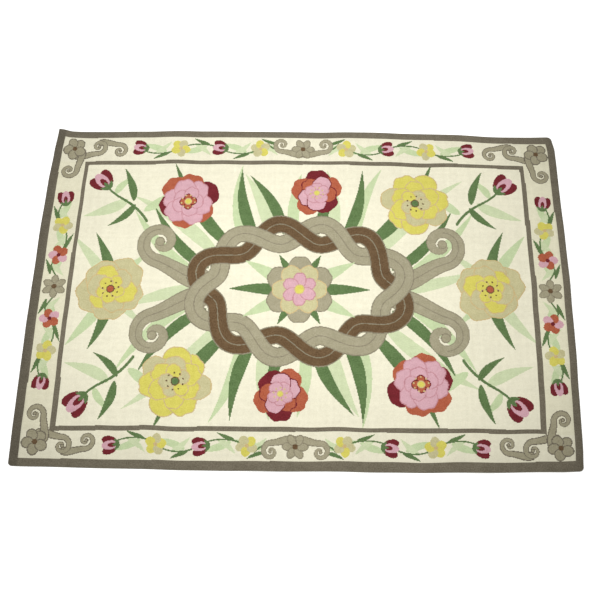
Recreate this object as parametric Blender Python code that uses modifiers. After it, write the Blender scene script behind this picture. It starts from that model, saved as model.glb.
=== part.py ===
"""Flat-woven wool area rug, lying face up on the floor.

Metres, +Z up. The long sides run along X and the viewer stands on the -Y side. The origin is
on the floor under the middle of the rug.

The rug is one woven cloth, so it is one solid: a sheet of even thickness with a rounded edge.
It lies as a hand-woven rug lies. Its corners are a little out of square, its sides belly and
wander by a few millimetres, one far corner is drawn out to a point, and low swells near the
sides keep parts of it just off the floor. Everywhere else its underside is flat on the floor.
"""

import math

import bmesh
import bpy
from mathutils import Matrix, Vector

# Driving sizes, in metres
LENGTH = 2.74
WIDTH = 1.83
THICKNESS = 0.005
EDGE_ROUNDING = 0.0018
EDGE_ROUNDING_STEPS = 2
CELL = 0.065

# How the cloth lies
WAVE_DEPTH_INTO_CLOTH = 0.16
CORNER_STEPS = 4

# How far each side bows outwards at its own middle: the side's outward direction and the distance
BELLY_COLUMNS = ("out_x", "out_y", "out")
BELLIES = (
    (1, 0, 0.017),
    (-1, 0, 0.013),
    (0, 1, 0.019),
    (0, -1, 0.013),
)

# Each corner: which end it is at, how far it is pushed along X and Y, and its rounding
CORNER_COLUMNS = ("along_x", "along_y", "push_x", "push_y", "rounding")
CORNERS = (
    (-1, 1, 0.005, 0.001, 0.004),
    (1, 1, 0.008, -0.004, 0.022),
    (1, -1, -0.006, 0.007, 0.020),
    (-1, -1, -0.006, -0.005, 0.018),
)

# Each place where a side wanders: the side's outward direction, the middle of the wander along
# that side, how far it reaches each way, and how far the side moves outwards there
WANDER_COLUMNS = ("out_x", "out_y", "middle", "reach", "out")
WANDERS = (
    (0, 1, -1.37, 0.085, 0.015),
    (0, 1, -0.52, 0.22, 0.002),
    (0, 1, 0.29, 0.20, 0.003),
    (0, 1, 1.09, 0.28, -0.007),
    (0, -1, -1.32, 0.12, 0.002),
    (0, -1, -0.44, 0.20, 0.001),
    (0, -1, 0.13, 0.26, -0.003),
    (0, -1, 1.15, 0.24, -0.003),
    (0, -1, 1.36, 0.10, -0.003),
    (-1, 0, 0.915, 0.13, -0.013),
    (-1, 0, 0.80, 0.20, -0.005),
    (-1, 0, 0.31, 0.20, 0.002),
    (-1, 0, -0.22, 0.22, -0.001),
    (1, 0, 0.915, 0.09, -0.012),
    (1, 0, 0.54, 0.24, -0.002),
    (1, 0, -0.52, 0.26, -0.002),
    (1, 0, -0.90, 0.10, -0.003),
)

# Each low swell: its middle, its reach along and across its ridge, the ridge's turn from X in
# degrees, and how high it lifts the cloth
SWELL_COLUMNS = ("middle_x", "middle_y", "along", "across", "turn", "lift")
SWELLS = (
    (-1.37, 0.92, 0.22, 0.13, -40, 0.011),
    (1.37, 0.90, 0.20, 0.12, 42, 0.005),
    (1.31, 0.06, 0.34, 0.13, 12, 0.006),
    (1.20, -0.42, 0.40, 0.12, 24, 0.004),
    (-1.33, -0.22, 0.30, 0.13, -8, 0.005),
    (-0.70, 0.88, 0.16, 0.24, 4, 0.004),
    (0.42, 0.90, 0.15, 0.28, -6, 0.005),
    (-0.18, -0.91, 0.17, 0.24, 5, 0.004),
    (0.86, -0.90, 0.15, 0.22, -8, 0.004),
)

# Undyed wool, as the linear value of the cream ground
WOOL_COLOUR = (0.81, 0.75, 0.58, 1.0)
WOOL_ROUGHNESS = 0.95


def clear_scene():
    for obj in list(bpy.data.objects):
        bpy.data.objects.remove(obj, do_unlink=True)


def rows_of(columns, table):
    """Each row of a table as a dictionary with the column names as keys."""
    return [dict(zip(columns, row)) for row in table]


def hump(distance):
    """1 at 0, falling smoothly to exactly 0 at 1 and past it."""
    if abs(distance) >= 1:
        return 0.0
    return (1 - distance * distance) ** 2


def wander_at(x, y):
    """How far the wandering sides move the cloth at this point, as a flat vector."""
    moved = Vector((0.0, 0.0))
    for row in rows_of(WANDER_COLUMNS, WANDERS):
        outward = Vector((row["out_x"], row["out_y"]))
        if row["out_y"]:
            along, from_side = x, WIDTH / 2 - y * row["out_y"]
        else:
            along, from_side = y, LENGTH / 2 - x * row["out_x"]
        share = hump((along - row["middle"]) / row["reach"]) * hump(from_side / WAVE_DEPTH_INTO_CLOTH)
        moved += outward * row["out"] * share
    return moved


def corner_push_at(x, y):
    """The corners' pushes, spread evenly over the cloth between them."""
    moved = Vector((0.0, 0.0))
    for row in rows_of(CORNER_COLUMNS, CORNERS):
        share_x = (1 + row["along_x"] * x / (LENGTH / 2)) / 2
        share_y = (1 + row["along_y"] * y / (WIDTH / 2)) / 2
        moved += Vector((row["push_x"], row["push_y"])) * share_x * share_y
    return moved


def belly_at(x, y):
    """How far the bowed sides move the cloth at this point, as a flat vector."""
    moved = Vector((0.0, 0.0))
    across_x, across_y = x / (LENGTH / 2), y / (WIDTH / 2)
    for row in rows_of(BELLY_COLUMNS, BELLIES):
        if row["out_y"]:
            share = max(0.0, across_y * row["out_y"]) * (1 - across_x**2)
        else:
            share = max(0.0, across_x * row["out_x"]) * (1 - across_y**2)
        moved += Vector((row["out_x"], row["out_y"])) * row["out"] * share
    return moved


def lift_at(x, y):
    """The height of the underside above the floor. It is exactly 0 outside the swells."""
    lift = 0.0
    for row in rows_of(SWELL_COLUMNS, SWELLS):
        turn = math.radians(row["turn"])
        off_x, off_y = x - row["middle_x"], y - row["middle_y"]
        along = off_x * math.cos(turn) + off_y * math.sin(turn)
        across = off_y * math.cos(turn) - off_x * math.sin(turn)
        lift += row["lift"] * hump(math.hypot(along / row["along"], across / row["across"]))
    return lift


def laid_place(x, y):
    """Where a point of the square-cut cloth lies on the floor."""
    moved = corner_push_at(x, y) + belly_at(x, y) + wander_at(x, y)
    return Vector((x + moved.x, y + moved.y, lift_at(x, y)))


def flat_cloth():
    """The cloth's underside, square-cut and flat, as a grid with its four corners rounded."""
    bpy.ops.mesh.primitive_grid_add(
        x_subdivisions=round(LENGTH / CELL), y_subdivisions=round(WIDTH / CELL), size=1.0
    )
    rug = bpy.context.object
    rug.data.transform(Matrix.Diagonal((LENGTH, WIDTH, 1.0, 1.0)))

    shape = bmesh.new()
    shape.from_mesh(rug.data)
    for row in rows_of(CORNER_COLUMNS, CORNERS):
        tip = Vector((row["along_x"] * LENGTH / 2, row["along_y"] * WIDTH / 2, 0.0))
        corner = min(shape.verts, key=lambda vert: (vert.co - tip).length)
        bmesh.ops.bevel(
            shape,
            geom=[corner],
            offset=row["rounding"],
            offset_type="OFFSET",
            segments=CORNER_STEPS,
            profile=0.5,
            affect="VERTICES",
        )
    shape.to_mesh(rug.data)
    shape.free()
    return rug


def give_thickness(rug):
    """The cloth's thickness rises from its underside, and its edge is rounded."""
    solidify = rug.modifiers.new("thickness", "SOLIDIFY")
    solidify.thickness = THICKNESS
    solidify.offset = 1.0
    solidify.use_even_offset = True
    bevel = rug.modifiers.new("rounded edge", "BEVEL")
    bevel.width = EDGE_ROUNDING
    bevel.segments = EDGE_ROUNDING_STEPS
    bevel.limit_method = "ANGLE"
    bevel.angle_limit = math.radians(50)


def wool_material():
    material = bpy.data.materials.new("wool")
    material.use_nodes = True
    shader = material.node_tree.nodes["Principled BSDF"]
    shader.inputs["Base Color"].default_value = WOOL_COLOUR
    shader.inputs["Roughness"].default_value = WOOL_ROUGHNESS
    shader.inputs["Metallic"].default_value = 0.0
    material.diffuse_color = WOOL_COLOUR
    return material


def centre_on_origin(rug):
    """Moves the rug so that its outline's box is centred on the origin."""
    bpy.context.view_layer.update()
    finished = rug.evaluated_get(bpy.context.evaluated_depsgraph_get())
    for axis in (0, 1):
        reach = [corner[axis] for corner in finished.bound_box]
        rug.location[axis] = -(min(reach) + max(reach)) / 2


def make_rug(collection):
    rug = flat_cloth()
    rug.name = rug.data.name = "rug"
    for vert in rug.data.vertices:
        vert.co = laid_place(vert.co.x, vert.co.y)
    rug.data.materials.append(wool_material())
    rug.data.shade_smooth()
    give_thickness(rug)
    for holder in list(rug.users_collection):
        holder.objects.unlink(rug)
    collection.objects.link(rug)
    centre_on_origin(rug)
    return rug


def main():
    clear_scene()
    collection = bpy.data.collections.new("wool_area_rug")
    bpy.context.scene.collection.children.link(collection)
    make_rug(collection)


main()
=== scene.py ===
# Flat-woven wool rug, dressed: the woven cloth with its charted design, and the wrapped selvedges
# at its two ends. The design is painted cell by cell on a weaver's chart, and the chart's colour
# areas become the faces of the cloth, so every colour change runs along warps and weft rows.
import math
import random

import bpy
import numpy as np
from mathutils import Matrix, Vector
from mathutils.geometry import delaunay_2d_cdt


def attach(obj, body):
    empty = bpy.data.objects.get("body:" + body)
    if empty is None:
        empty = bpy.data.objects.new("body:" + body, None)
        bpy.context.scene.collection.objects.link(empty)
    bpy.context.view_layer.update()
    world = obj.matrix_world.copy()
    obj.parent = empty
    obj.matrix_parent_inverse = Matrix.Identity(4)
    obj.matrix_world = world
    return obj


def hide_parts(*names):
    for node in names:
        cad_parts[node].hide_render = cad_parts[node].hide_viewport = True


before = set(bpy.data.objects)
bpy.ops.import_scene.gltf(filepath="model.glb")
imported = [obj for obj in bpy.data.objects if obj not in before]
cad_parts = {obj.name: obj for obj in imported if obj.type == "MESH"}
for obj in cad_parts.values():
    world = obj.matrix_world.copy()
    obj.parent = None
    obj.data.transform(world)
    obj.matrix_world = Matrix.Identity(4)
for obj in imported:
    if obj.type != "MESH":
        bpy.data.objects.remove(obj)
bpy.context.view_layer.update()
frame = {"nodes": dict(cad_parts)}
print("frame loaded:", ", ".join(frame["nodes"]))

scene = bpy.context.scene


def linearColour(rgb):
    # a colour given as 0 to 255 values, in the linear values that shaders use
    shares = [value / 255 for value in rgb]
    return [s / 12.92 if s <= 0.04045 else ((s + 0.055) / 1.055) ** 2.4 for s in shares]


def linked(name, data):
    thing = bpy.data.objects.new(name, data)
    scene.collection.objects.link(thing)
    return thing


# The camera, set from the photograph's view of the rug: it stands at the near side and looks
# steeply down. Its frame is square.
view = {
    "place": (0.0651, -1.4695, 3.8466),
    "tiltBelowHorizon": 69.862,
    "turnRight": -2.591,
    "roll": -1.683,
    "lens": 48.0,
    "sensor": 36.0,
}


def makeCamera():
    data = bpy.data.cameras.new("camera")
    data.lens = view["lens"]
    data.sensor_width = view["sensor"]
    camera = linked("camera", data)
    turns = (view["tiltBelowHorizon"], view["turnRight"], view["roll"])
    tilt, yaw, roll = (math.radians(turn) for turn in turns)
    ahead = Vector((math.sin(yaw), math.cos(yaw), 0))
    forward = ahead * math.cos(tilt) - Vector((0, 0, math.sin(tilt)))
    right = Vector((math.cos(yaw), -math.sin(yaw), 0))
    up = right.cross(forward)
    rolledRight = right * math.cos(roll) + up * math.sin(roll)
    rolledUp = up * math.cos(roll) - right * math.sin(roll)
    turned = Matrix((rolledRight, rolledUp, -forward)).transposed().to_4x4()
    camera.matrix_world = Matrix.Translation(view["place"]) @ turned
    scene.camera = camera


makeCamera()

# The cloth as it was woven, flat and square. A cell of the chart is one warp wide and a few
# weft rows high.
cloth = {
    "length": 2.74,
    "width": 1.83,
    "thickness": 0.005,
    "warps": 684,
    "rows": 610,
}
cellWidth = cloth["length"] / cloth["warps"]
cellHeight = cloth["width"] / cloth["rows"]

# The border: how far in from the edge the outer band ends and where the inner line starts and
# ends, at the first corner, the middle and the last corner of each side, anticlockwise from the
# near one
border = {
    "near": ((0.0385, 0.171, 0.195), (0.047, 0.1875, 0.211), (0.0495, 0.179, 0.200)),
    "right": ((0.0375, 0.1715, 0.1975), (0.037, 0.1695, 0.1955), (0.040, 0.185, 0.206)),
    "far": ((0.0455, 0.186, 0.208), (0.038, 0.179, 0.2025), (0.042, 0.187, 0.2105)),
    "left": ((0.0435, 0.187, 0.207), (0.0485, 0.1815, 0.2055), (0.0415, 0.1805, 0.208)),
}
# the wools of a side's outer band, ground and inner line, along the length and at the two ends
borderWools = (("taupe", "ecru", "taupe"), ("taupe", "endEcru", "taupe"))

# The dyed wools
yarns = {
    "cream": (241, 236, 210),
    "ecru": (238, 233, 207),
    "endEcru": (235, 230, 201),
    "taupe": (117, 109, 91),
    "lightTaupe": (165, 158, 130),
    "midTaupe": (139, 131, 108),
    "brown": (103, 79, 51),
    "darkGreen": (93, 120, 70),
    "paleGreen": (208, 219, 176),
    "mint": (199, 215, 167),
    "pink": (215, 169, 178),
    "rose": (196, 140, 148),
    "orangeRed": (178, 91, 61),
    "crimson": (113, 25, 33),
    "yellow": (217, 208, 96),
    "khaki": (201, 194, 147),
    "tan": (207, 183, 130),
}
yarnNumber = {name: number for number, name in enumerate(yarns)}
chart = np.full((cloth["rows"], cloth["warps"]), yarnNumber["cream"], np.int8)

# A spot is a place on the chart with a direction: x, y, its turn in degrees, and 1, or -1 where
# the motif is flipped over. Motifs are drawn in their spot's own frame, u along it and v across.
rugMiddle = (0, 0, 0, 1)


def spotAt(spot, u, v, turn=0.0, flip=1):
    # the spot that lies at u, v in another spot's frame
    x, y, spotTurn, spotFlip = spot
    angle = math.radians(spotTurn)
    v *= spotFlip
    return (
        x + u * math.cos(angle) - v * math.sin(angle),
        y + u * math.sin(angle) + v * math.cos(angle),
        spotTurn + turn * spotFlip,
        spotFlip * flip,
    )


def cellsNear(x, y, reach):
    # the piece of the chart within reach of a place, and how far its cells lie from that place
    left = max(0, math.floor((x - reach + cloth["length"] / 2) / cellWidth))
    right = min(cloth["warps"], math.ceil((x + reach + cloth["length"] / 2) / cellWidth))
    low = max(0, math.floor((y - reach + cloth["width"] / 2) / cellHeight))
    high = min(cloth["rows"], math.ceil((y + reach + cloth["width"] / 2) / cellHeight))
    alongX = (np.arange(left, right) + 0.5) * cellWidth - cloth["length"] / 2 - x
    alongY = (np.arange(low, high) + 0.5) * cellHeight - cloth["width"] / 2 - y
    return chart[low:high, left:right], *np.meshgrid(alongX, alongY)


def paint(yarn, spot, shape, grow=0.0):
    # gives this yarn to each cell that the shape covers, or the shape grown by so much all round
    reach, covers = shape
    x, y, turn, flip = spot
    cells, offX, offY = cellsNear(x, y, reach)
    cosTurn, sinTurn = math.cos(math.radians(turn)), math.sin(math.radians(turn))
    u = offX * cosTurn + offY * sinTurn
    v = (offY * cosTurn - offX * sinTurn) * flip
    cells[covers(u, v, grow)] = yarnNumber[yarn]


def paintLine(yarn, spot, points, firstWidth, lastWidth=None):
    # a line of yarn through closely set points, as wide all along or changing evenly to lastWidth
    widths = np.linspace(firstWidth, lastWidth or firstWidth, len(points))
    for (u, v), width in zip(points, widths):
        x, y = spotAt(spot, u, v)[:2]
        cells, offX, offY = cellsNear(x, y, width / 2 + cellWidth)
        cells[offX**2 + offY**2 < width**2 / 4] = yarnNumber[yarn]


def outlined(fill, line, spot, shape, lineWidth=0.005):
    paint(line, spot, shape)
    paint(fill, spot, shape, -lineWidth)


# A shape is how far it reaches from its spot at most, and a function that tells what it covers.
# The reach of a petal and of a leaf is in lengths.
petalShape = {"middle": 0.52, "tipSwell": 0.10, "ruffles": 7, "notchAngle": 0.28, "reach": 1.3}
bladeShape = {"widestAt": 0.72, "fullness": 0.85, "reach": 1.3}


def disc(radius):
    return radius + cellWidth, lambda u, v, grow: np.hypot(u, v) < radius + grow


def petal(length, width, notch=0.0, ruffle=0.0, phase=0.0):
    # grows along u; notch dents its tip, and ruffle waves its edge
    def covers(u, v, grow):
        alongPetal = (u - petalShape["middle"] * length) / (length / 2 + grow)
        acrossPetal = v / (width / 2 + grow)
        angle = np.arctan2(acrossPetal, alongPetal)
        edge = 1 + petalShape["tipSwell"] * np.cos(angle) * np.abs(np.cos(angle))
        edge += ruffle * np.cos(petalShape["ruffles"] * angle + phase)
        edge -= notch * np.exp(-((angle / petalShape["notchAngle"]) ** 2))
        return np.hypot(alongPetal, acrossPetal) < edge

    return petalShape["reach"] * length, covers


def blade(length, width, bend):
    # a long leaf along u, widest before its middle, its tip bent sideways by a share of its length
    def covers(u, v, grow):
        share = np.clip(u / length, 0, 1)
        swell = np.sin(np.pi * share ** bladeShape["widestAt"]) ** bladeShape["fullness"]
        offMiddle = np.abs(v - bend * length * share**2)
        return (u > 0) & (u < length) & (offMiddle < width / 2 * swell + grow)

    return bladeShape["reach"] * length, covers


def bezier(start, pullStart, pullEnd, end, step=0.002):
    # closely set points along a Bezier curve
    ends = [np.array(place, float) for place in (start, pullStart, pullEnd, end)]
    size = sum(np.hypot(*(b - a)) for a, b in zip(ends, ends[1:]))
    t = np.linspace(0, 1, math.ceil(size / step) + 2)[:, None]
    weights = ((1 - t) ** 3, 3 * (1 - t) ** 2 * t, 3 * (1 - t) * t**2, t**3)
    return sum(weight * place for weight, place in zip(weights, ends))


def andTwin(spot):
    # a spot and its twin, half a turn round the middle of the rug
    x, y, turn, flip = spot
    return (spot, (-x, -y, turn + 180, flip))


def rowsOf(columns, table):
    return [dict(zip(columns, row)) for row in table]


def drawLeaf(row, spot, size=1.0, way=1):
    # the leaf of a table's row, at a size, bent to its own side or to the other one
    bend = row.get("bend", 0.0) * way
    paint(row["yarn"], spot, blade(row["length"] * size, row["width"] * size, bend))


# The big blossoms. Each ring of petals, from the outside in: how many, how long and wide, how deep
# the tips are dented, the wools that its petals take in turn, and the wool of their outlines.
ringColumns = ("count", "length", "width", "notch", "fills", "line")
blossoms = {
    "rose": {
        "rings": (
            (6, 0.154, 0.140, 0.10, ("orangeRed", "crimson", "orangeRed"), None),
            (6, 0.128, 0.120, 0.12, ("pink",), "rose"),
            (5, 0.080, 0.082, 0.10, ("pink",), "rose"),
            (4, 0.044, 0.046, 0.0, ("orangeRed",), "crimson"),
        ),
        "heart": ("yellow", "tan"),
    },
    "smallRose": {
        "rings": (
            (5, 0.146, 0.150, 0.12, ("crimson", "orangeRed", "orangeRed"), None),
            (5, 0.116, 0.118, 0.12, ("orangeRed", "pink", "pink"), "crimson"),
            (5, 0.072, 0.074, 0.10, ("pink",), "rose"),
        ),
        "heart": ("yellow", "tan"),
    },
    "marigold": {
        "rings": (
            (7, 0.148, 0.124, 0.08, ("yellow", "yellow", "khaki"), "tan"),
            (6, 0.108, 0.096, 0.10, ("yellow", "yellow", "yellow", "khaki"), "tan"),
            (5, 0.068, 0.068, 0.0, ("khaki", "yellow"), "tan"),
        ),
        "heart": ("darkGreen", "brown"),
    },
    "peony": {
        "rings": (
            (5, 0.146, 0.158, 0.12, ("khaki",), "tan"),
            (6, 0.108, 0.102, 0.10, ("yellow", "khaki"), "tan"),
            (5, 0.066, 0.064, 0.0, ("yellow",), "tan"),
        ),
        "heart": ("orangeRed", "brown"),
    },
}

# How unlike each other a blossom's petals are, and the stamens round its heart
petalWhims = {
    "turn": (-7, 7),
    "length": (0.93, 1.07),
    "width": (0.94, 1.08),
    "ruffle": (0.015, 0.035),
    "phase": (0, 6),
}
heartRadius = 0.019
stamens = {"count": 9, "firstTurn": 12, "out": 0.036, "radius": 0.0046}

# Each big blossom and its twin have the same whim
bigBlossoms = rowsOf(("kind", "x", "y", "turn", "size", "whim"), (
    ("peony", 0.965, 0.010, 20, 1.16, 11),
    ("marigold", 0.600, 0.490, 65, 1.18, 12),
    ("rose", 0.605, -0.490, -40, 1.03, 13),
    ("smallRose", 0.080, 0.545, 95, 0.88, 14),
))


def drawBlossom(kind, spot, size, whim):
    draws = random.Random(whim)

    def whimOf(what):
        return draws.uniform(*petalWhims[what])

    for number, ring in enumerate(rowsOf(ringColumns, blossoms[kind]["rings"])):
        for k in range(ring["count"]):
            turn = 360 * (k + 0.5 * (number % 2)) / ring["count"] + whimOf("turn")
            length = ring["length"] * size * whimOf("length")
            width = ring["width"] * size * whimOf("width")
            shape = petal(length, width, ring["notch"], whimOf("ruffle"), whimOf("phase"))
            place = spotAt(spot, 0, 0, turn)
            fill = ring["fills"][k % len(ring["fills"])]
            if ring["line"]:
                outlined(fill, ring["line"], place, shape)
            else:
                paint(fill, place, shape)
    fill, line = blossoms[kind]["heart"]
    outlined(fill, line, spot, disc(heartRadius * size))
    for k in range(stamens["count"]):
        angle = math.radians(360 / stamens["count"] * k + stamens["firstTurn"])
        out = stamens["out"] * size
        stamen = spotAt(spot, out * math.cos(angle), out * math.sin(angle))
        paint(line, stamen, disc(stamens["radius"]))


# The braided ring round the middle: two strands that swing in and out round an oval
braid = {
    "halfLong": 0.500,
    "halfHigh": 0.310,
    "waves": 6,
    "swing": 0.057,
    "strand": 0.099,
    "line": 0.006,
    "ply": 0.005,
    # in shares of the way round: half of a crossing, how far a piece's filling covers the rounded
    # ends of its outline, and how much more of the line between the plies those ends hide
    "crossing": 0.028,
    "overlap": 0.006,
    "roundEnd": 0.018,
    "stepsRound": 1300,
    "anglesTried": 1441,
}


def ovalPlaces(shares):
    # places on the oval by their share of the way round it, and the way outwards at each
    angles = np.linspace(0, 2 * math.pi, braid["anglesTried"])
    x, y = braid["halfLong"] * np.cos(angles), braid["halfHigh"] * np.sin(angles)
    walked = np.concatenate([[0], np.cumsum(np.hypot(np.diff(x), np.diff(y)))])
    angle = np.interp(np.asarray(shares) % 1.0 * walked[-1], walked, angles)
    out = np.stack([braid["halfHigh"] * np.cos(angle), braid["halfLong"] * np.sin(angle)], -1)
    out /= np.linalg.norm(out, axis=-1, keepdims=True)
    return np.stack([braid["halfLong"] * np.cos(angle), braid["halfHigh"] * np.sin(angle)], -1), out


def drawStrand(fill, side, first, last):
    def points(more):
        start, end = first - more, last + more
        shares = np.linspace(start, end, math.ceil((end - start) * braid["stepsRound"]) + 2)
        places, out = ovalPlaces(shares)
        swing = side * braid["swing"] * np.sin(2 * math.pi * braid["waves"] * shares)
        return places + out * swing[:, None]

    inner = braid["strand"] - 2 * braid["line"]
    paintLine("midTaupe", rugMiddle, points(0), braid["strand"])
    paintLine(fill, rugMiddle, points(braid["overlap"]), inner)
    paintLine("midTaupe", rugMiddle, points(braid["overlap"] + braid["roundEnd"]), braid["ply"])


def drawBraid():
    drawStrand("brown", -1, 0, 1)
    drawStrand("lightTaupe", 1, 0, 1)
    crossings = 2 * braid["waves"]
    for k in range(1, crossings, 2):
        drawStrand("brown", -1, k / crossings - braid["crossing"], k / crossings + braid["crossing"])


# Leaves that fan out from the braid, by how far round it they start
fan = rowsOf(("round", "yarn", "lean", "length", "width", "bend"), (
    (0.000, "paleGreen", 6, 0.40, 0.064, 0.16),
    (0.020, "mint", 10, 0.54, 0.070, 0.34),
    (0.045, "darkGreen", -6, 0.44, 0.062, 0.38),
    (0.085, "paleGreen", 6, 0.62, 0.078, -0.22),
    (0.115, "darkGreen", -22, 0.60, 0.073, 0.28),
    (0.140, "mint", 20, 0.44, 0.066, -0.30),
    (0.165, "darkGreen", -18, 0.39, 0.065, 0.36),
    (0.190, "paleGreen", -2, 0.37, 0.072, 0.30),
    (0.215, "darkGreen", 0, 0.26, 0.056, -0.20),
    (0.262, "mint", 8, 0.34, 0.064, -0.26),
    (0.285, "darkGreen", 4, 0.37, 0.062, 0.34),
    (0.315, "paleGreen", -8, 0.37, 0.070, 0.30),
    (0.340, "darkGreen", 16, 0.39, 0.068, -0.38),
    (0.365, "mint", -4, 0.44, 0.072, -0.28),
    (0.390, "darkGreen", 20, 0.58, 0.072, -0.28),
    (0.425, "paleGreen", -2, 0.58, 0.076, 0.22),
    (0.455, "darkGreen", 4, 0.44, 0.063, -0.38),
    (0.480, "mint", -12, 0.52, 0.070, -0.32),
))

# Leaves behind the blossoms at the two ends
endLeaves = rowsOf(("yarn", "turn", "length", "width", "bend"), (
    ("mint", 66, 0.36, 0.062, -0.16),
    ("paleGreen", -62, 0.36, 0.062, 0.16),
    ("darkGreen", 92, 0.32, 0.060, -0.30),
    ("darkGreen", -88, 0.32, 0.060, 0.30),
    ("paleGreen", 122, 0.26, 0.050, 0.22),
    ("mint", -120, 0.26, 0.050, -0.22),
))


def drawFan():
    darkLast = sorted(fan, key=lambda row: row["yarn"] == "darkGreen")
    for row in darkLast:
        place, out = ovalPlaces(row["round"])
        turn = math.degrees(math.atan2(out[1], out[0])) + row["lean"]
        for spot in andTwin((place[0], place[1], turn, 1)):
            drawLeaf(row, spot)


def drawEndLeaves():
    end = bigBlossoms[0]
    for row in endLeaves:
        for spot in andTwin((end["x"], end["y"], row["turn"], 1)):
            drawLeaf(row, spot)


# A scroll of size 1: its lead, then its curl's middle, radius, turn in degrees and how much it
# tightens, its widths where it starts and ends, what its two outlines take of the first one, its
# crease and how much of its way that runs, and the eye in its curl
scroll = {
    "lead": ((0, 0), (0.07, -0.02), (0.15, 0.03)),
    "curlMiddle": (0.235, 0.120),
    "curlRadius": 0.090,
    "curlTurn": 400,
    "curlSteps": 160,
    "tightening": 0.80,
    "firstWidth": 0.098,
    "lastWidth": 0.026,
    "outlines": 0.011,
    "crease": 0.005,
    "creaseShare": 0.666,
    "eye": (0.240, 0.122),
    "eyeRadius": 0.022,
}


def drawScroll(line, spot, size, creased=False):
    # runs out along u, then curls in towards v, getting thinner
    fill = "lightTaupe"
    (curlU, curlV), radius = scroll["curlMiddle"], scroll["curlRadius"]
    lead = bezier(*scroll["lead"], (curlU, curlV - radius))
    way = np.linspace(0, 1, scroll["curlSteps"])
    angles = np.radians(-90 + scroll["curlTurn"] * way)
    radii = radius * (1 - scroll["tightening"] * way)
    curl = np.stack([curlU + radii * np.cos(angles), curlV + radii * np.sin(angles)], 1)
    points = np.concatenate([lead, curl]) * size
    firstWidth, lastWidth = scroll["firstWidth"] * size, scroll["lastWidth"] * size
    for yarn, less in ((line, 0.0), (fill, scroll["outlines"])):
        paintLine(yarn, spot, points, firstWidth - less, lastWidth - less / 2)
    if creased:
        crease = points[: round(len(points) * scroll["creaseShare"])]
        paintLine(line, spot, crease, scroll["crease"])
    eyeU, eyeV = scroll["eye"]
    eye = spotAt(spot, eyeU * size, eyeV * size)
    outlined(fill, line, eye, disc(scroll["eyeRadius"] * size))


# A rosebud of size 1 from the side, opening along u: its petals from the back to the front, and
# its sepals
budColumns = ("yarn", "u", "turns", "length", "width")
budPetals = rowsOf(budColumns, (
    ("crimson", 0.0, (-24, 24), 0.058, 0.036),
    ("pink", 0.0, (0,), 0.056, 0.032),
    ("crimson", 0.006, (0,), 0.030, 0.016),
))
budSepals = rowsOf(budColumns, (("darkGreen", -0.004, (-48, 0, 48), 0.028, 0.012),))


def drawBud(spot, size):
    for row in budPetals:
        for turn in row["turns"]:
            place = spotAt(spot, row["u"] * size, 0, turn)
            paint(row["yarn"], place, petal(row["length"] * size, row["width"] * size))
    for row in budSepals:
        for turn in row["turns"]:
            drawLeaf(row, spotAt(spot, row["u"] * size, 0, turn), size)


# The sprays in the field's corners: leaves along a bent stem, by where they leave it
sprayLeaves = rowsOf(("yarn", "u", "v", "turn", "length", "width", "bend"), (
    ("mint", -0.15, -0.10, 150, 0.17, 0.048, -0.20),
    ("paleGreen", -0.06, -0.03, -40, 0.24, 0.060, 0.30),
    ("mint", 0.01, 0.00, 110, 0.13, 0.040, 0.30),
    ("darkGreen", -0.09, -0.04, 88, 0.20, 0.044, -0.30),
    ("darkGreen", -0.10, -0.06, -62, 0.17, 0.040, 0.35),
))
spray = {
    "stem": ((-0.17, -0.16), (-0.08, -0.02), (0.0, -0.04), (0.06, 0.045)),
    "stemWidths": (0.015, 0.011),
    "bud": (0.050, 0.036, 45),
    "budSize": 1.9,
}


def drawSpray(spot):
    for row in sprayLeaves:
        drawLeaf(row, spotAt(spot, row["u"], row["v"], row["turn"]))
    paintLine("darkGreen", spot, bezier(*spray["stem"]), *spray["stemWidths"])
    drawBud(spotAt(spot, *spray["bud"]), spray["budSize"])


# The rosette in the middle: leaves, then rings of petals
middleLeaves = rowsOf(("turns", "yarn", "length", "width"), (
    ((28, 152, 208, 332), "mint", 0.32, 0.070),
    ((0, 180), "darkGreen", 0.36, 0.062),
    ((60, 120, 240, 300), "darkGreen", 0.214, 0.056),
))
middleRings = rowsOf(ringColumns, (
    (6, 0.176, 0.136, 0.10, ("lightTaupe",), "midTaupe"),
    (6, 0.136, 0.110, 0.10, ("khaki",), "tan"),
    (6, 0.088, 0.070, 0.10, ("pink",), "rose"),
))
middleHeart = 0.027


def drawMiddle():
    for row in middleLeaves:
        for turn in row["turns"]:
            drawLeaf(row, spotAt(rugMiddle, 0, 0, turn))
    for number, ring in enumerate(middleRings):
        for k in range(ring["count"]):
            turn = 360 * (k + 0.5 * ((number + 1) % 2)) / ring["count"]
            shape = petal(ring["length"], ring["width"], ring["notch"])
            outlined(ring["fills"][0], ring["line"], spotAt(rugMiddle, 0, 0, turn), shape)
    outlined("yellow", "tan", rugMiddle, disc(middleHeart))


# Where the sprays and the big scrolls stand in the field
fieldPlaces = {
    "spray": (0.985, 0.530),
    "scroll": (0.50, 0.045),
    "scrollTurn": 15,
    "scrollSize": 1.16,
}


def drawField():
    drawFan()
    drawEndLeaves()
    for side in (1, -1):
        x, y = fieldPlaces["spray"]
        for spot in andTwin((x, y * side, 0, side)):
            drawSpray(spot)
    for side in (-1, 1):
        x, y = fieldPlaces["scroll"]
        for spot in andTwin((x, y * side, fieldPlaces["scrollTurn"] * side, side)):
            drawScroll("midTaupe", spot, fieldPlaces["scrollSize"], creased=True)
    for row in bigBlossoms:
        for spot in andTwin((row["x"], row["y"], row["turn"], 1)):
            drawBlossom(row["kind"], spot, row["size"], row["whim"])
    drawBraid()
    drawMiddle()


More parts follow.
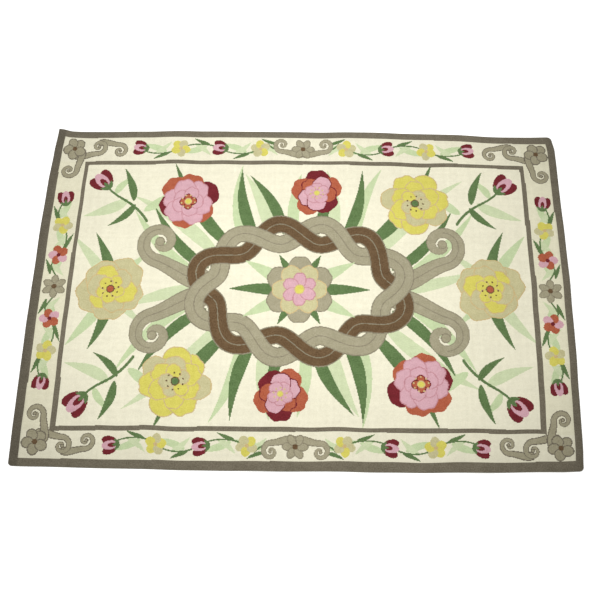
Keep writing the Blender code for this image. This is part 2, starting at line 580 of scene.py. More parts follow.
def drawFrame():
    # a cell's ring is the outermost one that any of the border's sides puts it in
    cells, x, y = cellsNear(0, 0, cloth["length"])
    ring, atSide = np.full(cells.shape, 3), np.zeros(cells.shape, int)
    for k, stations in enumerate(border.values()):
        half, reach = (cloth["width"] / 2, x) if k % 2 == 0 else (cloth["length"] / 2, y)
        fromSide = half + (y, -x, -y, x)[k]
        way = 0.5 + reach * (1, 1, -1, -1)[k] / (cloth["length"], cloth["width"])[k % 2]
        # what the first, middle and last station count at this share of the way along the side
        shares = ((1 - way) * (1 - 2 * way), 4 * way * (1 - way), way * (2 * way - 1))
        limits = [
            sum(share * value for share, value in zip(shares, values)) for values in zip(*stations)
        ]
        rank = sum(fromSide > limit for limit in limits)
        atSide[rank < ring] = k % 2
        ring = np.minimum(ring, rank)
    for kind, wools in enumerate(borderWools):
        for number, yarn in enumerate(wools):
            cells[(ring == number) & (atSide == kind)] = yarnNumber[yarn]


# What stands along the bands at the long sides and at the ends, from their middles outwards. The
# two halves of a band mirror each other.
longBand = (("khaki", 0.235), ("bud", 0.455), ("yellow", 0.670), ("bud", 0.890))
endBand = (("orange", 0.175), ("yellow", 0.345), ("bud", 0.505))
bandMiddles = {name: (stations[1][0] + stations[1][1]) / 2 for name, stations in border.items()}


def bandSpot(band, side):
    # the middle of a band, heading along it; band 0 is the far one and they run clockwise
    name = ("far", "right", "near", "left")[band]
    off = (cloth["width"] if band % 2 == 0 else cloth["length"]) / 2 - bandMiddles[name]
    spot = spotAt(spotAt(rugMiddle, 0, 0, -90 * band), 0, off)
    return spot if side > 0 else spotAt(spot, 0, 0, 180, -1)


# The band's small blossoms: each kind's petals, its second and fourth petal, its heart, and how far
# it is turned
smallBlossoms = {
    "yellow": ("yellow", "khaki", "tan", 48),
    "khaki": ("khaki", "yellow", "tan", 12),
    "orange": ("orangeRed", "pink", "crimson", 18),
}
smallPetal = {"length": 0.050, "width": 0.046}
smallHeart = 0.010


def drawSmallBlossom(spot, fill, accent, heart, turn):
    fills = (fill, accent, fill, accent, fill)
    for k, yarn in enumerate(fills):
        paint(yarn, spotAt(spot, 0, 0, 360 * k / len(fills) + turn), petal(**smallPetal))
    paint(heart, spot, disc(smallHeart))


# The vine's leaves between two stops, by their place from the middle between them, the way they
# head and how they lean from it, and its stem. The stretches swing to either side in turn.
vineLeaves = rowsOf(("yarn", "along", "off", "heading", "lean", "length", "width", "bend"), (
    ("mint", -0.035, 0.020, 0, -30, 0.150, 0.036, 0.22),
    ("paleGreen", 0.030, 0.030, 180, 24, 0.110, 0.030, 0.25),
    ("darkGreen", -0.050, 0.030, 0, 12, 0.092, 0.020, 0.16),
))
vineStem = {"pull": 0.06, "bow": 0.040, "widths": (0.009, 0.007)}


def drawVine(base, start, stops):
    places = [start] + [along for _, along in stops]
    for k, (first, last) in enumerate(zip(places, places[1:])):
        way = (-1) ** k
        middle = (first + last) / 2
        for row in vineLeaves:
            turn = row["heading"] + row["lean"] * way
            spot = spotAt(base, middle + row["along"], row["off"] * way, turn)
            drawLeaf(row, spot, way=way)
        pull, bow = vineStem["pull"], vineStem["bow"] * way
        stem = bezier((first, 0), (first + pull, bow), (last - pull, bow), (last, 0))
        paintLine("darkGreen", base, stem, *vineStem["widths"])


# Where a band's vine starts, along the length and at the two ends, its buds and its scrolls
bandMotifs = {
    "vineStart": (0.160, 0.060),
    "bud": (-0.04, 0, 8),
    "budSize": 1.36,
    "scroll": (0.010, -0.030),
    "scrollSize": 0.46,
}
# The taupe blossoms: their outlines, how many petals, and how long and wide these are
middleBlossom = ("midTaupe", 6, 0.060, 0.042)
cornerBlossom = ("taupe", 5, 0.062, 0.058)
taupeHeart = 0.013


def drawTaupeBlossom(spot, line, count, length, width):
    for k in range(count):
        outlined("lightTaupe", line, spotAt(spot, 0, 0, 360 * k / count), petal(length, width))
    paint("brown", spot, disc(taupeHeart))


def drawBand(band):
    atEnd = band % 2
    stops = (longBand, endBand)[atEnd]
    for side in (-1, 1):
        base = bandSpot(band, side)
        drawVine(base, bandMotifs["vineStart"][atEnd], stops)
        for motif, along in stops:
            spot = spotAt(base, along, 0)
            if motif in smallBlossoms:
                drawSmallBlossom(spot, *smallBlossoms[motif])
            else:
                drawBud(spotAt(spot, *bandMotifs["bud"]), bandMotifs["budSize"])
        if not atEnd:
            place = spotAt(base, *bandMotifs["scroll"])
            drawScroll("midTaupe", place, bandMotifs["scrollSize"])
    drawTaupeBlossom(bandSpot(band, 1), *middleBlossom)


# In each corner scrolls run out along the end and along the side from a blossom: how far along
# they start, how far off the band's middle, their size, and which way they curl
endScrolls = ((0.020, -0.043, 0.48, 1),)
sideScrolls = ((0.145, 0.040, 0.44, -1), (0.020, -0.043, 0.48, 1))


def drawCorner(cornerX, cornerY):
    x = cornerX * (cloth["length"] / 2 - bandMiddles["right" if cornerX > 0 else "left"])
    y = cornerY * (cloth["width"] / 2 - bandMiddles["far" if cornerY > 0 else "near"])
    alongSide = (x, y, 180 if cornerX > 0 else 0, -cornerX * cornerY)
    alongEnd = (x, y, -90 * cornerY, cornerX * cornerY)
    for spot, scrolls in ((alongSide, sideScrolls), (alongEnd, endScrolls)):
        for along, off, size, curl in scrolls:
            drawScroll("taupe", spotAt(spot, along, off, 0, curl), size)
    drawTaupeBlossom((x, y, 45, 1), *cornerBlossom)


drawField()
drawFrame()
for bandNumber in range(4):
    drawBand(bandNumber)
for cornerSigns in ((1, 1), (1, -1), (-1, -1), (-1, 1)):
    drawCorner(*cornerSigns)
print("chart painted:", chart.shape[1], "warps by", chart.shape[0], "rows")

# How the cloth lies, as its solid does: its corners are pushed about and rounded, its sides bow
# outwards and wander, and low swells lift it a little off the floor. Corners go anticlockwise. A
# wander's middle and reach are along its side, a swell's lengths along and across its ridge.
lie = {
    "waveDepthIntoCloth": 0.16,
    "cornerSteps": 4,
    "edgeSpacing": 0.020,
}
corners = rowsOf(("alongX", "alongY", "pushX", "pushY", "rounding"), (
    (1, -1, -0.006, 0.007, 0.020),
    (1, 1, 0.008, -0.004, 0.022),
    (-1, 1, 0.005, 0.001, 0.004),
    (-1, -1, -0.006, -0.005, 0.018),
))
bellies = rowsOf(("outX", "outY", "out"), (
    (1, 0, 0.017),
    (-1, 0, 0.013),
    (0, 1, 0.019),
    (0, -1, 0.013),
))
wanders = rowsOf(("outX", "outY", "middle", "reach", "out"), (
    (0, 1, -1.37, 0.085, 0.015),
    (0, 1, -0.52, 0.22, 0.002),
    (0, 1, 0.29, 0.20, 0.003),
    (0, 1, 1.09, 0.28, -0.007),
    (0, -1, -1.32, 0.12, 0.002),
    (0, -1, -0.44, 0.20, 0.001),
    (0, -1, 0.13, 0.26, -0.003),
    (0, -1, 1.15, 0.24, -0.003),
    (0, -1, 1.36, 0.10, -0.003),
    (-1, 0, 0.915, 0.13, -0.013),
    (-1, 0, 0.80, 0.20, -0.005),
    (-1, 0, 0.31, 0.20, 0.002),
    (-1, 0, -0.22, 0.22, -0.001),
    (1, 0, 0.915, 0.09, -0.012),
    (1, 0, 0.54, 0.24, -0.002),
    (1, 0, -0.52, 0.26, -0.002),
    (1, 0, -0.90, 0.10, -0.003),
))
swells = rowsOf(("middleX", "middleY", "along", "across", "turn", "lift"), (
    (-1.37, 0.92, 0.22, 0.13, -40, 0.011),
    (1.37, 0.90, 0.20, 0.12, 42, 0.005),
    (1.31, 0.06, 0.34, 0.13, 12, 0.006),
    (1.20, -0.42, 0.40, 0.12, 24, 0.004),
    (-1.33, -0.22, 0.30, 0.13, -8, 0.005),
    (-0.70, 0.88, 0.16, 0.24, 4, 0.004),
    (0.42, 0.90, 0.15, 0.28, -6, 0.005),
    (-0.18, -0.91, 0.17, 0.24, 5, 0.004),
    (0.86, -0.90, 0.15, 0.22, -8, 0.004),
))

# How evenly it was woven: how far the warps and the weft rows stray from their places, and by what
# share less near the edges, how high the cloth cockles, and how its wrapped ends lift it
weaving = {
    "warpStray": 0.0012,
    "rowStray": 0.0022,
    "cockle": 0.0009,
    "shortestWave": 0.16,
    "longestWave": 0.60,
    "waves": 12,
    "seed": 5,
    "edgeHold": 0.7,
    "edgeDepth": 0.08,
    "endLift": 0.0011,
    "endLiftReach": 0.0176,
}


def hump(distance):
    return np.clip(1 - distance**2, 0, None) ** 2


def wavering(draws):
    # smooth and uneven over the cloth, mostly between -1 and 1
    count = weaving["waves"]
    turns = 2 * math.pi / draws.uniform(weaving["shortestWave"], weaving["longestWave"], count)
    headings, phases = draws.uniform(0, math.pi, count), draws.uniform(0, 2 * math.pi, count)

    def value(x, y):
        waves = zip(turns * np.cos(headings), turns * np.sin(headings), phases)
        return sum(np.sin(kx * x + ky * y + phase) for kx, ky, phase in waves) / math.sqrt(count)

    return value


weaveDraws = np.random.default_rng(weaving["seed"])
warpStray, rowStray, cockle = (wavering(weaveDraws) for _ in range(3))


def movedAt(x, y):
    # how far the cloth is moved along X and Y where it lies, and how high it is lifted
    shareX, shareY = x / (cloth["length"] / 2), y / (cloth["width"] / 2)
    moved, lift = np.zeros((2, len(x))), np.zeros(len(x))
    for row in bellies:
        towards = np.clip(shareX * row["outX"] + shareY * row["outY"], 0, None)
        share = towards * (1 - (shareX * row["outY"]) ** 2 - (shareY * row["outX"]) ** 2)
        moved += np.outer((row["outX"] * row["out"], row["outY"] * row["out"]), share)
    for row in corners:
        share = (1 + row["alongX"] * shareX) * (1 + row["alongY"] * shareY) / 4
        moved += np.outer((row["pushX"], row["pushY"]), share)
    for row in wanders:
        if row["outY"]:
            along, fromSide = x, cloth["width"] / 2 - y * row["outY"]
        else:
            along, fromSide = y, cloth["length"] / 2 - x * row["outX"]
        share = hump((along - row["middle"]) / row["reach"])
        share *= hump(fromSide / lie["waveDepthIntoCloth"])
        moved += np.outer((row["outX"] * row["out"], row["outY"] * row["out"]), share)
    for row in swells:
        turn = math.radians(row["turn"])
        offX, offY = x - row["middleX"], y - row["middleY"]
        along = offX * math.cos(turn) + offY * math.sin(turn)
        across = offY * math.cos(turn) - offX * math.sin(turn)
        lift += row["lift"] * hump(np.hypot(along / row["along"], across / row["across"]))
    return *moved, lift


def clothEdge():
    # round the cut anticlockwise: points on its edge and the way outwards at each
    edge, out = [], []
    for k, row in enumerate(corners):
        half = np.array((cloth["length"] / 2, cloth["width"] / 2)) - row["rounding"]
        middle = half * (row["alongX"], row["alongY"])
        angles = np.radians(90 * k - np.linspace(90, 0, lie["cornerSteps"] + 1))
        around = np.stack([np.cos(angles), np.sin(angles)], 1)
        arc = middle + row["rounding"] * around
        following = corners[(k + 1) % len(corners)]
        sideLength = cloth["length"] if k % 2 else cloth["width"]
        reach = sideLength - row["rounding"] - following["rounding"]
        steps = round(reach / lie["edgeSpacing"])
        heading = np.array((-around[-1][1], around[-1][0]))
        side = arc[-1] + heading * np.linspace(0, reach, steps + 1)[1:-1, None]
        edge += [arc, side]
        out += [around, np.tile(around[-1], (len(side), 1))]
    return np.concatenate(edge), np.concatenate(out)


edgePoints, outwards = clothEdge()
edgeX, edgeY = edgePoints.T + movedAt(*edgePoints.T)[:2]
middleX, middleY = (edgeX.min() + edgeX.max()) / 2, (edgeY.min() + edgeY.max()) / 2


def onFloor(flat, height):
    # where points of the flat cloth lie, given their heights above its underside
    x, y = flat.T
    movedX, movedY, lift = movedAt(x, y)
    inside = np.minimum(cloth["length"] / 2 - np.abs(x), cloth["width"] / 2 - np.abs(y))
    share = 1 - weaving["edgeHold"] * hump(inside / weaving["edgeDepth"])
    movedX += weaving["warpStray"] * warpStray(x, y) * share
    movedY += weaving["rowStray"] * rowStray(x, y) * share
    lift += weaving["cockle"] * np.clip(cockle(x, y), 0, 1) ** 2
    lift += weaving["endLift"] * hump((cloth["length"] / 2 - np.abs(x)) / weaving["endLiftReach"])
    return np.stack([x + movedX - middleX, y + movedY - middleY, lift + height], 1)


# The wool's finish. A rib is one warp under its weft, and a grain is what one weft row shows of it.
# The heather is that of the palest dye and of the deepest.
wool = {
    "rib": cellWidth,
    "grain": cellHeight,
    "straying": 0.0011,
    "roundness": 0.45,
    "relief": 0.0006,
    "reliefStrength": 0.8,
    "fibreRelief": 0.18,
    "grooves": (0.1, 0.7),
    "grooveShade": 0.84,
    "heather": (0.03, 0.12),
    "patches": 0.08,
    "streaks": 0.035,
    "warpStreaks": 0.03,
    "mottle": 0.042,
    "handling": 0.04,
    "roughness": (0.82, 0.95),
    "sheen": 0.20,
    "specular": 0.25,
}

# What varies in it: how often in a metre, or how often along X and along Y, and how finely
noises = {
    "straying": (60.0, 1.0),
    "fibres": ((900.0, 2600.0), 2.0),
    "heather": (170.0, 2.0),
    "patches": (26.0, 4.0),
    "streaks": ((1.3, 46.0), 3.0),
    "warpStreaks": ((52.0, 2.0), 3.0),
    "mottle": (48.0, 4.0),
    "handling": (2.2, 3.0),
    "wraps": ((2.0, 300.0, 2.0), 2.0),
    "wrapFibres": ((900.0, 2400.0, 900.0), 2.0),
}
usualNoise = (0.3, 0.7)  # most of a noise's values lie between these
wideNoise = (0.25, 0.75)  # and nearly all of them between these

# How much darker the outer band is across the two ends, then the painted light along the far side
# and the painted shade towards the corners, each against the middle, and from where to where it
# fades in, as shares of the way from the middle to an end or a side. The corners' painted shade goes
# by the square of the way from the middle of the painted light.
paintedLightMiddle = (-0.02, 0.10)
darkEndsAndPaintedLight = {
    "leftEnd": (0.76, -0.963, -0.972),
    "rightEnd": (0.92, 0.963, 0.972),
    # painted light along the far side
    "farSidePaintedLight": (1.035, 0.75, 0.95),
    # painted shade towards the corners
    "corners": (0.80, 1.0, 2.3),
}


def wire(tree, node, values):
    # sets a node's inputs, each to a number, a colour or another node's output
    for name, value in values.items():
        if isinstance(value, bpy.types.NodeSocket):
            tree.links.new(value, node.inputs[name])
        else:
            node.inputs[name].default_value = value


def put(tree, kind, values=None, **settings):
    node = tree.nodes.new(kind)
    for name, value in settings.items():
        setattr(node, name, value)
    wire(tree, node, values or {})
    return node


def maths(tree, operation, *values):
    return put(tree, "ShaderNodeMath", dict(enumerate(values)), operation=operation).outputs[0]


def vectorMaths(tree, operation, values):
    return put(tree, "ShaderNodeVectorMath", values, operation=operation).outputs[0]


def stretched(tree, place, sizes):
    return vectorMaths(tree, "MULTIPLY", {0: place, 1: (*sizes, 1.0)[:3]})


def axesOf(tree, place):
    return put(tree, "ShaderNodeSeparateXYZ", {0: place}).outputs[:2]


def spread(tree, value, low, high, fromLow=0.0, fromHigh=1.0):
    values = {"From Min": fromLow, "From Max": fromHigh, "To Min": low, "To Max": high}
    return put(tree, "ShaderNodeMapRange", {"Value": value, **values}).outputs[0]


def noise(tree, place, kind, output=0):
    perMetre, detail = noises[kind]
    if isinstance(perMetre, tuple):
        place, perMetre = stretched(tree, place, perMetre), 1.0
    values = {"Vector": place, "Scale": perMetre, "Detail": detail}
    return put(tree, "ShaderNodeTexNoise", values).outputs[output]


def unevenly(tree, shade, value, amount, reach):
    # the shade, a little lighter or darker by a noise's value
    return maths(tree, "MULTIPLY", shade, spread(tree, value, 1 - amount, 1 + amount, *reach))


def makeRibs(tree, flat):
    # 1 on each grain and 0 in the grooves round it; every other rib is half a grain on
    waver = noise(tree, flat, "straying", "Color")
    reach = (wool["straying"], wool["straying"], 0)
    x, y = axesOf(tree, vectorMaths(tree, "MULTIPLY_ADD", {0: waver, 1: reach, 2: flat}))
    ribs = maths(tree, "DIVIDE", x, wool["rib"])
    offset = maths(tree, "MULTIPLY", maths(tree, "MODULO", maths(tree, "FLOOR", ribs), 2.0), 0.5)
    grains = maths(tree, "ADD", maths(tree, "DIVIDE", y, wool["grain"]), offset)
    heights = [
        maths(tree, "ABSOLUTE", maths(tree, "SINE", maths(tree, "MULTIPLY", count, math.pi)))
        for count in (ribs, grains)
    ]
    return maths(tree, "POWER", maths(tree, "MULTIPLY", *heights), wool["roundness"])


def withDarkEndsAndPaintedLight(tree, shade, flat):
    # darker across the two ends, with painted shade towards the corners and painted light along the
    # far side
    halves = (2 / cloth["length"], 2 / cloth["width"])
    shareX, shareY = axesOf(tree, stretched(tree, flat, halves))
    squares = [
        maths(tree, "POWER", maths(tree, "SUBTRACT", share, lightMiddle), 2.0)
        for share, lightMiddle in zip((shareX, shareY), paintedLightMiddle)
    ]
    ways = (shareX, shareX, shareY, maths(tree, "ADD", *squares))
    for way, tone in zip(ways, darkEndsAndPaintedLight.values()):
        shade = maths(tree, "MULTIPLY", shade, spread(tree, way, 1.0, *tone))
    return shade


def makeWeave():
    # what every yarn shares: the dye's unevenness, the painted shade in the grooves, the painted
    # light and shade over the cloth, roughness and relief
    tree = bpy.data.node_groups.new("weave", "ShaderNodeTree")
    for name in ("Dye", "Shade", "Roughness"):
        tree.interface.new_socket(name=name, in_out="OUTPUT", socket_type="NodeSocketFloat")
    tree.interface.new_socket(name="Normal", in_out="OUTPUT", socket_type="NodeSocketVector")
    flat = put(tree, "ShaderNodeUVMap", uv_map="cloth").outputs[0]
    place = put(tree, "ShaderNodeTexCoord").outputs["Object"]

    ribs = makeRibs(tree, flat)
    fibres = noise(tree, flat, "fibres")
    height = maths(tree, "ADD", ribs, maths(tree, "MULTIPLY", fibres, wool["fibreRelief"]))
    relief = {"Height": height, "Distance": wool["relief"], "Strength": wool["reliefStrength"]}

    patches = noise(tree, flat, "patches")
    patches = spread(tree, patches, -wool["patches"], wool["patches"], *usualNoise)
    shade = spread(tree, ribs, wool["grooveShade"], 1.0, *wool["grooves"])
    for kind in ("streaks", "warpStreaks", "mottle", "handling"):
        value = noise(tree, place if kind == "handling" else flat, kind)
        shade = unevenly(tree, shade, value, wool[kind], wideNoise)
    results = {
        "Dye": maths(tree, "ADD", noise(tree, flat, "heather"), patches),
        # painted shade in the grooves and painted light and shade over the cloth, with the random
        # streaks, mottle and handling marks and the darker ends
        "Shade": withDarkEndsAndPaintedLight(tree, shade, flat),
        "Roughness": spread(tree, fibres, *wool["roughness"], *usualNoise),
        "Normal": put(tree, "ShaderNodeBump", relief).outputs[0],
    }
    put(tree, "NodeGroupOutput", results)
    return tree


def newMaterial(name, colour):
    material = bpy.data.materials.new(name)
    material.use_nodes = True
    material.diffuse_color = colour + [1]
    return material


def finishWool(material, colour, shade, roughness, normal):
    tree = material.node_tree
    values = {
        "Base Color": vectorMaths(tree, "SCALE", {0: colour, "Scale": shade}),
        "Roughness": roughness,
        "Normal": normal,
        "Sheen Weight": wool["sheen"],
        "Specular IOR Level": wool["specular"],
    }
    wire(tree, tree.nodes["Principled BSDF"], values)


def makeWool(name, rgb, weave):
    colour = linearColour(rgb)
    material = newMaterial(name + "Wool", colour)
    tree = material.node_tree
    shared = put(tree, "ShaderNodeGroup", node_tree=weave).outputs
    heather = float(np.interp(sum(colour) / 3, (0, 1), wool["heather"][::-1]))
    deeper = [value ** (1 + heather) * (1 - heather) for value in colour] + [1]
    paler = [value ** (1 - heather) * (1 + heather / 2) for value in colour] + [1]
    dye = spread(tree, shared["Dye"], 0.0, 1.0, *usualNoise)
    heathered = {"Factor": dye, 6: deeper, 7: paler}  # the node's two colour inputs
    mixed = put(tree, "ShaderNodeMix", heathered, data_type="RGBA").outputs[2]
    finishWool(material, mixed, shared["Shade"], shared["Roughness"], shared["Normal"])
    return material


# How fine the cloth's mesh is: a coarse grid of so many cells along X and Y between the colour
# edges, how many of the chart's cells make one on the underside, and the angles round the rim
clothMesh = {
    "topGrid": (9, 10),
    "backGrid": (6, 5),
    "backStep": 2,
    "rimAngles": (90, 60, 20, -20, -60, -90),
    "joinWithin": 1e-6,
}

# The map that the cloth's wools are baked on. The top takes its lower part, the underside stands
# above that at half the size, and beside it the rim, cut in strips.
baking = {
    "topWidth": 0.97,
    "margin": 0.006,
    "backAt": 0.664,
    "rimAt": (0.51, 0.680),
    "rimScale": 0.20,
    "strips": 4,
    "stripHeight": 0.024,
    "levelHeight": 0.003,
}


def yarnAreas(cells, gridX, gridY, rim):
    # the flat cloth inside the rim, as triangles that follow the colour areas and a coarse grid:
    # their points, the rim's first, their corners and each one's yarn
    rows, columns = cells.shape
    across = np.zeros((rows + 1, columns), bool)
    across[1:-1] = cells[1:] != cells[:-1]
    upwards = np.zeros((rows, columns + 1), bool)
    upwards[:, 1:-1] = cells[:, 1:] != cells[:, :-1]
    left, right, below, above = (np.zeros((rows + 1, columns + 1), bool) for _ in range(4))
    left[:, 1:], right[:, :-1], below[1:], above[:-1] = across, across, upwards, upwards
    straight = (left & right & ~below & ~above) | (below & above & ~left & ~right)
    gridRows, gridColumns = np.zeros((2, *left.shape), bool)
    gridRows[gridY:-1:gridY, 1:-1] = True
    gridColumns[1:-1, gridX:-1:gridX] = True
    kept = (left | right | below | above) & (~straight | gridRows | gridColumns)
    kept |= gridRows & gridColumns

    number = np.full(kept.shape, -1)
    number[kept] = np.arange(kept.sum()) + len(rim)
    j, i = np.nonzero(kept)
    places = np.stack([i / columns - 0.5, j / rows - 0.5], 1) * (cloth["length"], cloth["width"])
    points = [Vector(place) for place in np.concatenate([rim, places]).tolist()]
    edges = [(k, (k + 1) % len(rim)) for k in range(len(rim))]
    for line, changes in [*zip(number, across), *zip(number.T, upwards.T)]:
        stops = np.flatnonzero(line >= 0)
        joined = changes[stops[:-1]]
        edges += zip(line[stops[:-1]][joined].tolist(), line[stops[1:]][joined].tolist())
    found = delaunay_2d_cdt(points, edges, [], 0, clothMesh["joinWithin"], False)
    flat = np.array([point[:] for point in found[0]])
    triangles = np.array(found[2])
    middles = flat[triangles].mean(1)
    column = ((middles[:, 0] / cloth["length"] + 0.5) * columns).astype(int)
    row = ((middles[:, 1] / cloth["width"] + 0.5) * rows).astype(int)
    return flat, triangles, cells[row, column]


def rimMaps(rim, following, arcs):
    # the rim's faces on the flat cloth, which runs on round it in metres, and on the bake map
    rimFlat = rim + outwards * arcs[:, None, None]
    along = np.concatenate([[0], np.cumsum(np.linalg.norm(rim[following] - rim, axis=1))])
    stripLength = along[-1] / baking["strips"]
    strip = along[:-1] // stripLength
    first, last = along[:-1] - strip * stripLength, along[1:] - strip * stripLength
    startU, startV = baking["rimAt"]
    onCloth, onBake = [], []
    for k in range(len(arcs) - 1):
        inner, outer = rimFlat[k], rimFlat[k + 1]
        onCloth.append(np.stack([outer, outer[following], inner[following], inner], 1))
        upper, lower = (
            startV + baking["stripHeight"] * strip + baking["levelHeight"] * level
            for level in (k, k + 1)
        )
        ends = ((first, lower), (last, lower), (last, upper), (first, upper))
        places = [np.stack([startU + baking["rimScale"] * u, v], 1) for u, v in ends]
        onBake.append(np.stack(places, 1))
    return onCloth, onBake


def makeCloth():
    radius = cloth["thickness"] / 2
    rim = edgePoints - radius * outwards
    topFlat, topFaces, topYarns = yarnAreas(chart, *clothMesh["topGrid"], rim)
    step = clothMesh["backStep"]
    backFlat, backFaces, backYarns = yarnAreas(chart[::step, ::step], *clothMesh["backGrid"], rim)
    backFaces = backFaces[:, ::-1]
    angles = np.radians(clothMesh["rimAngles"])
    rounds = [rim + radius * math.cos(angle) * outwards for angle in angles[1:-1]]
    heights = [np.full(len(rim), radius * (1 + math.sin(angle))) for angle in angles[1:-1]]
    flat = np.concatenate([topFlat, backFlat, *rounds])
    height = np.concatenate([np.full(len(topFlat), 2 * radius), np.zeros(len(backFlat)), *heights])

    backStart = len(topFlat)
    roundStart = backStart + len(backFlat)
    starts = (0, *(roundStart + k * len(rim) for k in range(len(rounds))), backStart)
    ringAt = [start + np.arange(len(rim)) for start in starts]
    following = np.roll(np.arange(len(rim)), -1)
    rimFaces = np.concatenate([
        np.stack([lower, lower[following], upper[following], upper], 1)
        for upper, lower in zip(ringAt, ringAt[1:])
    ])
    faces = [*topFaces.tolist(), *(backFaces + backStart).tolist(), *rimFaces.tolist()]
    mesh = bpy.data.meshes.new("woven_rug")
    mesh.from_pydata(onFloor(flat, height).tolist(), [], faces)
    yarnOf = np.concatenate([topYarns, backYarns, np.full(len(rimFaces), yarnNumber["taupe"])])
    mesh.polygons.foreach_set("material_index", yarnOf.astype(np.int32))
    mesh.shade_smooth()

    rimOnCloth, rimOnBake = rimMaps(rim, following, radius * (angles[0] - angles))
    top, back = topFlat[topFaces], backFlat[backFaces]
    corner = np.array((cloth["length"], cloth["width"])) / 2
    scale, margin = baking["topWidth"] / cloth["length"], baking["margin"]
    topOnBake = (top + corner) * scale + margin
    backOnBake = (back + corner) * scale / 2 + (margin, baking["backAt"])
    maps = {
        "cloth": (top, back, *rimOnCloth),
        "OFBake": (topOnBake, backOnBake, *rimOnBake),
    }
    for name, parts in maps.items():
        values = np.concatenate([part.reshape(-1, 2) for part in parts])
        mesh.uv_layers.new(name=name).data.foreach_set("uv", values.ravel().astype(np.float32))
    mesh.uv_layers["cloth"].active_render = True
    mesh.uv_layers.active = mesh.uv_layers["cloth"]
    weave = makeWeave()
    for name, rgb in yarns.items():
        mesh.materials.append(makeWool(name, rgb, weave))
    return linked("woven_rug", mesh)


rug = makeCloth()
print("cloth woven:", len(rug.data.polygons), "faces in", len(yarns), "wools")

# The wrapped selvedges: at each end of the rug the outermost warps are bound with doubled weft,
# wherever the cloth's edge faces along X by more than this share
wraps = {
    "yarn": (96, 88, 75),
    "pitch": 0.0028,
    "yarnRadius": 0.0010,
    "yarnSides": 4,
    "halfWidth": 0.0044,
    "halfHeight": 0.0022,
    "loopSteps": 9,
    "inset": 0.0044,
    "facing": 0.75,
    "lean": 9.0,
    "unevenness": 0.07,
    "dyeUnevenness": 0.14,
    "fibreUnevenness": 0.1,
    "relief": 0.0002,
    "reliefStrength": 0.6,
    "seed": 3,
}
wrapInputs = {
    "Pitch": wraps["pitch"],
    "Yarn radius": wraps["yarnRadius"],
    "Half width": wraps["halfWidth"],
    "Half height": wraps["halfHeight"],
    "Lean": wraps["lean"],
    "Unevenness": wraps["unevenness"],
}


def makeWrapYarn():
    # doubled wool, each wrap dyed a little unevenly
    colour = linearColour(wraps["yarn"])
    material = newMaterial("selvedgeWool", colour)
    tree = material.node_tree
    place = put(tree, "ShaderNodeTexCoord").outputs["Object"]
    fibres = noise(tree, place, "wrapFibres")
    perWrap = noise(tree, place, "wraps")
    shade = unevenly(tree, 1.0, perWrap, wraps["dyeUnevenness"], usualNoise)
    shade = unevenly(tree, shade, fibres, wraps["fibreUnevenness"], (0.0, 1.0))
    rough = spread(tree, fibres, *wool["roughness"])
    relief = {"Height": fibres, "Distance": wraps["relief"], "Strength": wraps["reliefStrength"]}
    bump = put(tree, "ShaderNodeBump", relief).outputs[0]
    finishWool(material, colour, shade, rough, bump)
    return material


def makeWrapTree():
    # binds an edge with loops of yarn, one at each step along it
    tree = bpy.data.node_groups.new("bindEdge", "GeometryNodeTree")
    floats = dict.fromkeys(wrapInputs, "Float")
    kinds = {"Edge": "Geometry", **floats, "Seed": "Int", "Yarn": "Material"}
    for name, kind in kinds.items():
        tree.interface.new_socket(name=name, in_out="INPUT", socket_type="NodeSocket" + kind)
    tree.interface.new_socket(name="Wraps", in_out="OUTPUT", socket_type="NodeSocketGeometry")
    given = tree.nodes.new("NodeGroupInput").outputs

    line = put(tree, "GeometryNodeMeshToCurve", {"Mesh": given["Edge"]}).outputs[0]
    steps = {"Curve": line, "Length": given["Pitch"]}
    stops = put(tree, "GeometryNodeCurveToPoints", steps, mode="LENGTH").outputs
    halves = {"X": given["Half width"], "Y": given["Half height"], "Z": 1.0}
    size = put(tree, "ShaderNodeCombineXYZ", halves).outputs[0]
    circle = {"Resolution": wraps["loopSteps"], "Radius": 1.0}
    ring = put(tree, "GeometryNodeCurvePrimitiveCircle", circle).outputs[0]
    upright = {"Geometry": ring, "Rotation": (math.pi / 2, 0, 0), "Scale": size}
    loop = put(tree, "GeometryNodeTransform", upright).outputs[0]
    profile = {"Resolution": wraps["yarnSides"], "Radius": given["Yarn radius"]}
    section = put(tree, "GeometryNodeCurvePrimitiveCircle", profile).outputs[0]
    swept = {"Curve": loop, "Profile Curve": section}
    strand = put(tree, "GeometryNodeCurveToMesh", swept).outputs[0]
    smooth = put(tree, "GeometryNodeSetShadeSmooth", {"Geometry": strand}).outputs[0]

    tangent = {"Vector": stops["Tangent"]}
    facing = put(tree, "FunctionNodeAlignRotationToVector", tangent, axis="Y", pivot_axis="Z")
    shares = {
        2: maths(tree, "SUBTRACT", 1.0, given["Unevenness"]),
        3: maths(tree, "ADD", 1.0, given["Unevenness"]),
        "Seed": given["Seed"],
    }
    share = put(tree, "FunctionNodeRandomValue", shares, data_type="FLOAT").outputs[1]
    angle = maths(tree, "MULTIPLY", share, maths(tree, "RADIANS", given["Lean"]))
    euler = put(tree, "ShaderNodeCombineXYZ", {"Z": angle}).outputs[0]
    turns = {"Rotation": facing.outputs[0], "Rotate By": euler}
    lean = put(tree, "FunctionNodeRotateRotation", turns, rotation_space="LOCAL").outputs[0]
    placed = {"Points": stops["Points"], "Instance": smooth, "Rotation": lean, "Scale": share}
    loops = put(tree, "GeometryNodeInstanceOnPoints", placed).outputs[0]
    real = put(tree, "GeometryNodeRealizeInstances", {"Geometry": loops}).outputs[0]
    dressed = {"Geometry": real, "Material": given["Yarn"]}
    finished = put(tree, "GeometryNodeSetMaterial", dressed).outputs[0]
    put(tree, "NodeGroupOutput", {"Wraps": finished})
    return tree


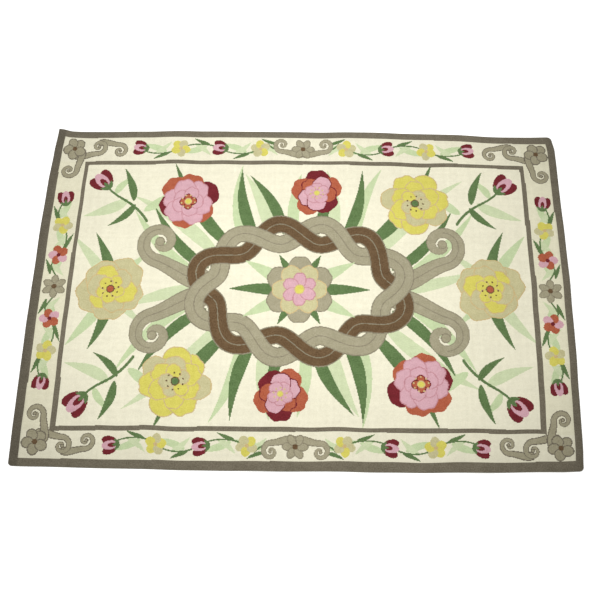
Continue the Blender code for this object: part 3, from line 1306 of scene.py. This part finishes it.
def makeWraps():
    # the paths that the wraps follow, along the middle of each selvedge
    points, edges = [], []
    for end in (-1, 1):
        onEnd = np.flatnonzero(outwards[:, 0] * end > wraps["facing"])
        flat = edgePoints[onEnd] - wraps["inset"] * outwards[onEnd]
        flat = flat[np.argsort(flat[:, 1])]
        height = np.full(len(flat), cloth["thickness"] / 2)
        edges += [(len(points) + k, len(points) + k + 1) for k in range(len(flat) - 1)]
        points += onFloor(flat, height).tolist()
    path = bpy.data.meshes.new("selvedge_path")
    path.from_pydata(points, edges, [])
    guide = linked("selvedge_path", path)
    binding = guide.modifiers.new("wraps", "NODES")
    binding.node_group = makeWrapTree()
    values = {**wrapInputs, "Seed": wraps["seed"], "Yarn": makeWrapYarn()}
    for socket in binding.node_group.interface.items_tree:
        if socket.name in values:
            binding[socket.identifier] = values[socket.name]
    bpy.context.view_layer.update()
    finished = guide.evaluated_get(bpy.context.evaluated_depsgraph_get())
    mesh = bpy.data.meshes.new_from_object(finished)
    mesh.name = "selvedge_wraps"
    bpy.data.objects.remove(guide)
    return linked("selvedge_wraps", mesh)


selvedges = makeWraps()
print("selvedges wrapped:", len(selvedges.data.polygons), "faces")

# The floor and the light: one big soft lamp over the middle of the rug, and a pale room
studio = {
    "floorSize": 30.0,
    "floorColour": (252, 252, 250),
    "floorGlow": 0.45,
    "floorRoughness": 0.9,
    "floorSpecular": 0.1,
    "room": 0.38,
    "lampPlace": (-0.14, 0.18, 2.5),
    "lampSize": 1.8,
    "lampPower": 63.0,
}


def makeStudio():
    half = studio["floorSize"] / 2
    mesh = bpy.data.meshes.new("floor")
    square = [(-half, -half, 0), (half, -half, 0), (half, half, 0), (-half, half, 0)]
    mesh.from_pydata(square, [], [(0, 1, 2, 3)])
    colour = linearColour(studio["floorColour"])
    material = newMaterial("palePaint", colour)
    values = {
        "Base Color": colour + [1],
        "Roughness": studio["floorRoughness"],
        "Specular IOR Level": studio["floorSpecular"],
        "Emission Color": colour + [1],
        "Emission Strength": studio["floorGlow"],
    }
    wire(material.node_tree, material.node_tree.nodes["Principled BSDF"], values)
    mesh.materials.append(material)
    linked("floor", mesh)

    lamp = bpy.data.lights.new("softLamp", "AREA")
    lamp.shape = "DISK"
    lamp.size = studio["lampSize"]
    lamp.energy = studio["lampPower"]
    linked("softLamp", lamp).location = studio["lampPlace"]

    world = bpy.data.worlds.new("room")
    world.use_nodes = True
    values = {"Color": (1, 1, 1, 1), "Strength": studio["room"]}
    wire(world.node_tree, world.node_tree.nodes["Background"], values)
    scene.world = world
    scene.view_settings.view_transform = "Standard"


makeStudio()
print("floor and lights set")

for piece in (rug, selvedges):
    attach(piece, "root")
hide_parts("rug")
